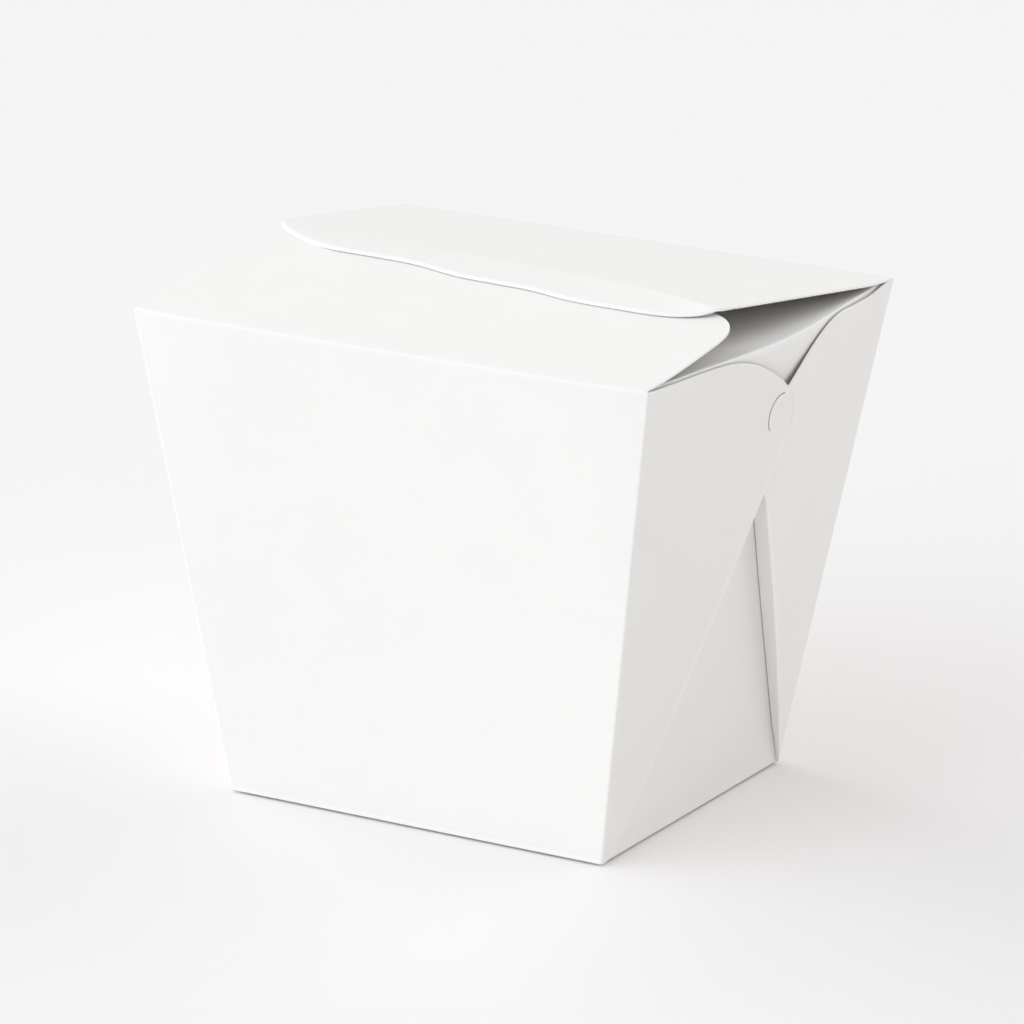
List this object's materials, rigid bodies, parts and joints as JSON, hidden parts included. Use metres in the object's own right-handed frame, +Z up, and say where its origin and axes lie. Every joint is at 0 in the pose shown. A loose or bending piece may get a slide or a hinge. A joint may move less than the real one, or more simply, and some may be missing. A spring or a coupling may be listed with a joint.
{
  "type": "noodle takeaway box",
  "caption": "Shut folded paperboard noodle pail with tapering sides, lapped gusset wings and a lid of lapped flaps, standing on its flat base.",
  "frame": {"origin": "middle of the base panel, on the surface the box stands on", "axes": "+Z up; +X to the box's right as one faces its front panel, which looks along -Y; the lid's back flap folds over from +Y"},
  "size_m": [0.116, 0.1052, 0.1047],
  "materials": {
    "board": "smooth white coated board, satin"
  },
  "bodies": {
    "root": {"noodle_box": "board"}
  },
  "joints": []
}
